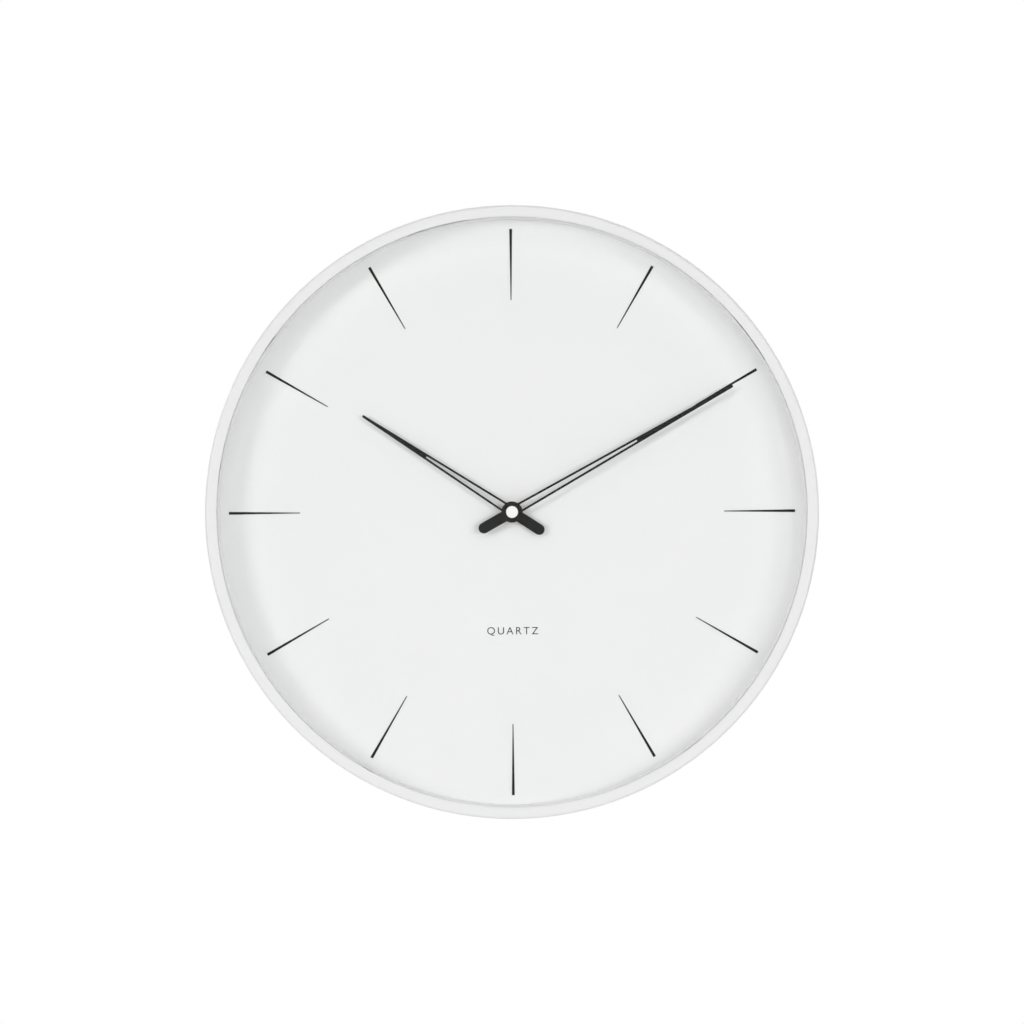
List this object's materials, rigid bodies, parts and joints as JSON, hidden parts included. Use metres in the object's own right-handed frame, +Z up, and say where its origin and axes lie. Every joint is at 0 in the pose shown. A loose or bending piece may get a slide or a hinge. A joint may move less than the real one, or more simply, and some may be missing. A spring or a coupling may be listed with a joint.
{
  "type": "wall clock",
  "caption": "Round wall clock in a white metal drum: flat white dial with black baton markers, pierced tapering black hands and a battery quartz movement on the back.",
  "frame": {"origin": "on the hands' axis, in the plane of the wall that the drum's back rim rests on", "axes": "+Z up towards 12 o'clock, +X to the right towards 3 o'clock as seen by the viewer, +Y into the wall; the dial faces -Y"},
  "size_m": [0.4, 0.05, 0.4],
  "materials": {
    "white_enamel": "smooth semi-matt white powder coat on steel",
    "dial_white": "matt white paint on aluminium",
    "dial_print": "matt black printing",
    "clear_glass": "clear float glass with ground edge",
    "white_plastic": "white moulded plastic",
    "black_paint": "satin black paint on aluminium",
    "fibreboard": "brown medium-density fibreboard",
    "zinc_steel": "zinc-plated pressed steel",
    "black_plastic": "black moulded plastic, fine texture",
    "brass": "turned brass",
    "black_rubber": "matt black rubber",
    "white_acetal": "white moulded acetal",
    "soft_iron": "punched soft iron",
    "magnet": "sintered magnet, dark grey",
    "copper": "enamelled copper wire",
    "tinned_steel": "tinned spring steel",
    "cell_jacket": "printed jacket of a dry cell, no marks",
    "brown_laminate": "brown phenolic circuit laminate with solder pads"
  },
  "bodies": {
    "drum": {"case_shell": "white_enamel", "glass_lens": "clear_glass", "spacer_ring": "white_plastic", "dial_plate": "dial_white", "hour_markers": "dial_print", "backing_board": "fibreboard", "board_brackets": "zinc_steel", "board_screws": "zinc_steel", "hanger_plate": "zinc_steel", "hanger_screws": "zinc_steel", "movement_housing": "black_plastic", "movement_back_cover": "black_plastic", "train_bridge": "black_plastic", "mounting_bush": "brass", "rubber_washer": "black_rubber", "dial_washer": "brass", "hex_nut": "brass", "stator": "soft_iron", "coil_core": "soft_iron", "coil_bobbin": "white_acetal", "coil_winding": "copper", "circuit_board": "brown_laminate", "chip_cover": "black_plastic", "quartz_crystal": "tinned_steel", "positive_contact": "tinned_steel", "negative_contact": "tinned_steel"},
    "minute": {"minute_arbor": "tinned_steel", "minute_hand_collet": "brass", "minute_hand": "black_paint", "centre_cap": "white_plastic"},
    "hour": {"hour_wheel": "white_acetal", "hour_hand_collet": "brass", "hour_hand": "black_paint"},
    "setting": {"minute_wheel": "white_acetal", "setting_knob": "black_plastic"},
    "centre": {"centre_wheel": "white_acetal"},
    "third": {"third_wheel": "white_acetal"},
    "seconds": {"seconds_wheel": "white_acetal"},
    "intermediate": {"intermediate_wheel": "white_acetal"},
    "rotor": {"rotor_pinion": "white_acetal", "rotor_magnet": "magnet"},
    "cell": {"battery_cell": "cell_jacket"}
  },
  "joints": [
    {"name": "minute_spin", "type": "hinge", "parent": "drum", "child": "minute", "pos_m": [0, 0, 0], "axis": [0, 1, 0], "continuous": true},
    {"name": "hour_spin", "type": "hinge", "parent": "drum", "child": "hour", "pos_m": [0, 0, 0], "axis": [0, 1, 0], "continuous": true},
    {"name": "setting_spin", "type": "hinge", "parent": "drum", "child": "setting", "pos_m": [0, 0, 0.0104], "axis": [0, 1, 0], "continuous": true},
    {"name": "seconds_spin", "type": "hinge", "parent": "drum", "child": "seconds", "pos_m": [0, 0, 0], "axis": [0, 1, 0], "continuous": true},
    {"name": "intermediate_spin", "type": "hinge", "parent": "drum", "child": "intermediate", "pos_m": [0.01009, 0, -0.00178], "axis": [0, 1, 0], "continuous": true},
    {"name": "rotor_spin", "type": "hinge", "parent": "drum", "child": "rotor", "pos_m": [0.01434, 0, 0.00558], "axis": [0, 1, 0], "continuous": true},
    {"name": "third_spin", "type": "hinge", "parent": "drum", "child": "third", "pos_m": [-0.0102, 0, 0], "axis": [0, 1, 0], "continuous": true},
    {"name": "centre_spin", "type": "hinge", "parent": "drum", "child": "centre", "pos_m": [0, 0, 0], "axis": [0, 1, 0], "continuous": true},
    {"name": "cell_slide", "type": "slide", "parent": "drum", "child": "cell", "axis": [0, 1, 0], "range_m": [0, 0.03]}
  ],
  "couplings": [
    {"joint": "setting_spin", "follows": "minute_spin", "ratio": -0.33333},
    {"joint": "hour_spin", "follows": "minute_spin", "ratio": 0.083333},
    {"joint": "intermediate_spin", "follows": "seconds_spin", "ratio": -4},
    {"joint": "rotor_spin", "follows": "seconds_spin", "ratio": 30},
    {"joint": "third_spin", "follows": "seconds_spin", "ratio": -0.13333},
    {"joint": "centre_spin", "follows": "seconds_spin", "ratio": 0.016667}
  ]
}
